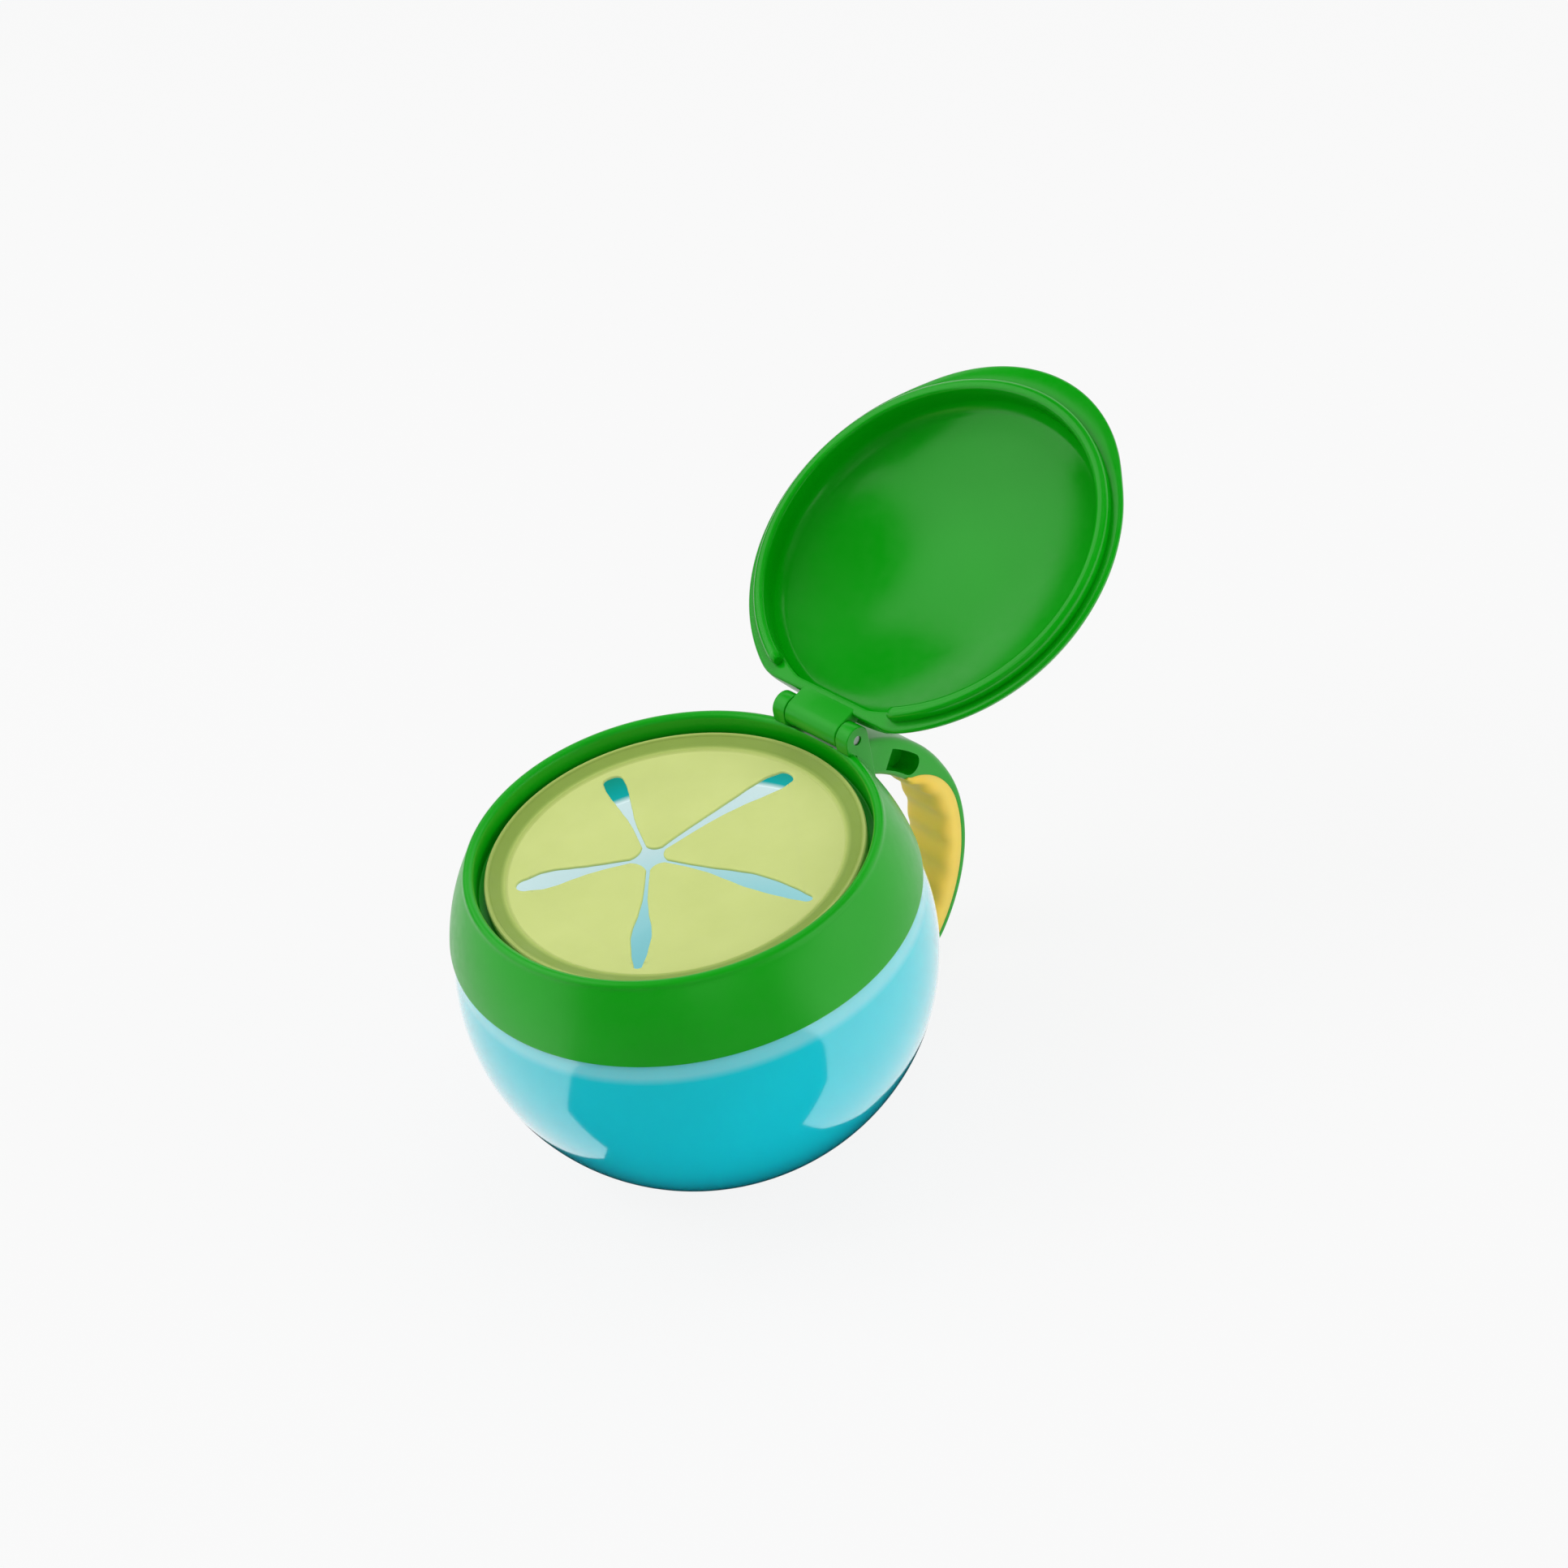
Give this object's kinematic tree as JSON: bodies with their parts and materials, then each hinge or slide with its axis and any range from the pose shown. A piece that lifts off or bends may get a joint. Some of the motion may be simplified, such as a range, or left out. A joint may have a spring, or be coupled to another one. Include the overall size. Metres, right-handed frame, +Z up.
{
  "type": "toddler snack container",
  "caption": "Round translucent cup with a screw-on collar, a flip-up domed lid, a C-shaped side handle with a soft grip, and a soft slitted insert that keeps snacks from spilling.",
  "frame": {"origin": "centre of the bowl's flat foot, on the table", "axes": "+Z up along the bowl's axis; +Y from the axis towards the handle and the lid's hinge; +X is the user's right when the handle is at the far side"},
  "size_m": [0.0952, 0.163, 0.1087],
  "materials": {
    "clear_blue": "glossy, see-through tint",
    "green_plastic": "smooth satin gloss",
    "yellow_grip": "matte, soft, ribbed on the inner side",
    "soft_insert": "matte, soft, slightly translucent",
    "pin_metal": "plain drawn pin"
  },
  "bodies": {
    "bowl": {"bowl": "clear_blue"},
    "insert": {"flap_ring": "soft_insert"},
    "collar": {"collar": "green_plastic", "handle": "green_plastic", "handle_grip": "yellow_grip", "hinge_pin": "pin_metal"},
    "lid": {"lid": "green_plastic"},
    "flap_1": {"flap_1": "soft_insert"},
    "flap_2": {"flap_2": "soft_insert"},
    "flap_3": {"flap_3": "soft_insert"},
    "flap_4": {"flap_4": "soft_insert"},
    "flap_5": {"flap_5": "soft_insert"}
  },
  "joints": [
    {"name": "insert_lift", "type": "slide", "parent": "bowl", "child": "insert", "axis": [0, 0, 1], "range_m": [0, 0.0031]},
    {"name": "collar_turn", "type": "hinge", "parent": "insert", "child": "collar", "pos_m": [0, 0, 0.0585], "axis": [0, 0, 1], "range_deg": [0, 180]},
    {"name": "lid_hinge", "type": "hinge", "parent": "collar", "child": "lid", "pos_m": [0, 0.0408, 0.0684], "axis": [-1, 0, 0], "range_deg": [-152.6, 0]},
    {"name": "flap_1_bend", "type": "hinge", "parent": "insert", "child": "flap_1", "pos_m": [0.0152, 0.01911, 0.0607], "axis": [0.7826, -0.6225, 0], "range_deg": [-20, 60], "stiffness_Nm_per_rad": 0.01},
    {"name": "flap_2_bend", "type": "hinge", "parent": "insert", "child": "flap_2", "pos_m": [-0.01484, 0.02042, 0.0607], "axis": [0.809, 0.5878, 0], "range_deg": [-20, 60], "stiffness_Nm_per_rad": 0.01},
    {"name": "flap_3_bend", "type": "hinge", "parent": "insert", "child": "flap_3", "pos_m": [-0.02465, -0.0073, 0.0607], "axis": [-0.284, 0.9588, 0], "range_deg": [-20, 60], "stiffness_Nm_per_rad": 0.01},
    {"name": "flap_4_bend", "type": "hinge", "parent": "insert", "child": "flap_4", "pos_m": [-0.00109, -0.02506, 0.0607], "axis": [-0.999, 0.0436, 0], "range_deg": [-20, 60], "stiffness_Nm_per_rad": 0.01},
    {"name": "flap_5_bend", "type": "hinge", "parent": "insert", "child": "flap_5", "pos_m": [0.02392, -0.00942, 0.0607], "axis": [-0.3665, -0.9304, 0], "range_deg": [-20, 60], "stiffness_Nm_per_rad": 0.01}
  ],
  "couplings": [
    {"joint": "insert_lift", "follows": "collar_turn", "m_per_rad": 0.00095493}
  ]
}
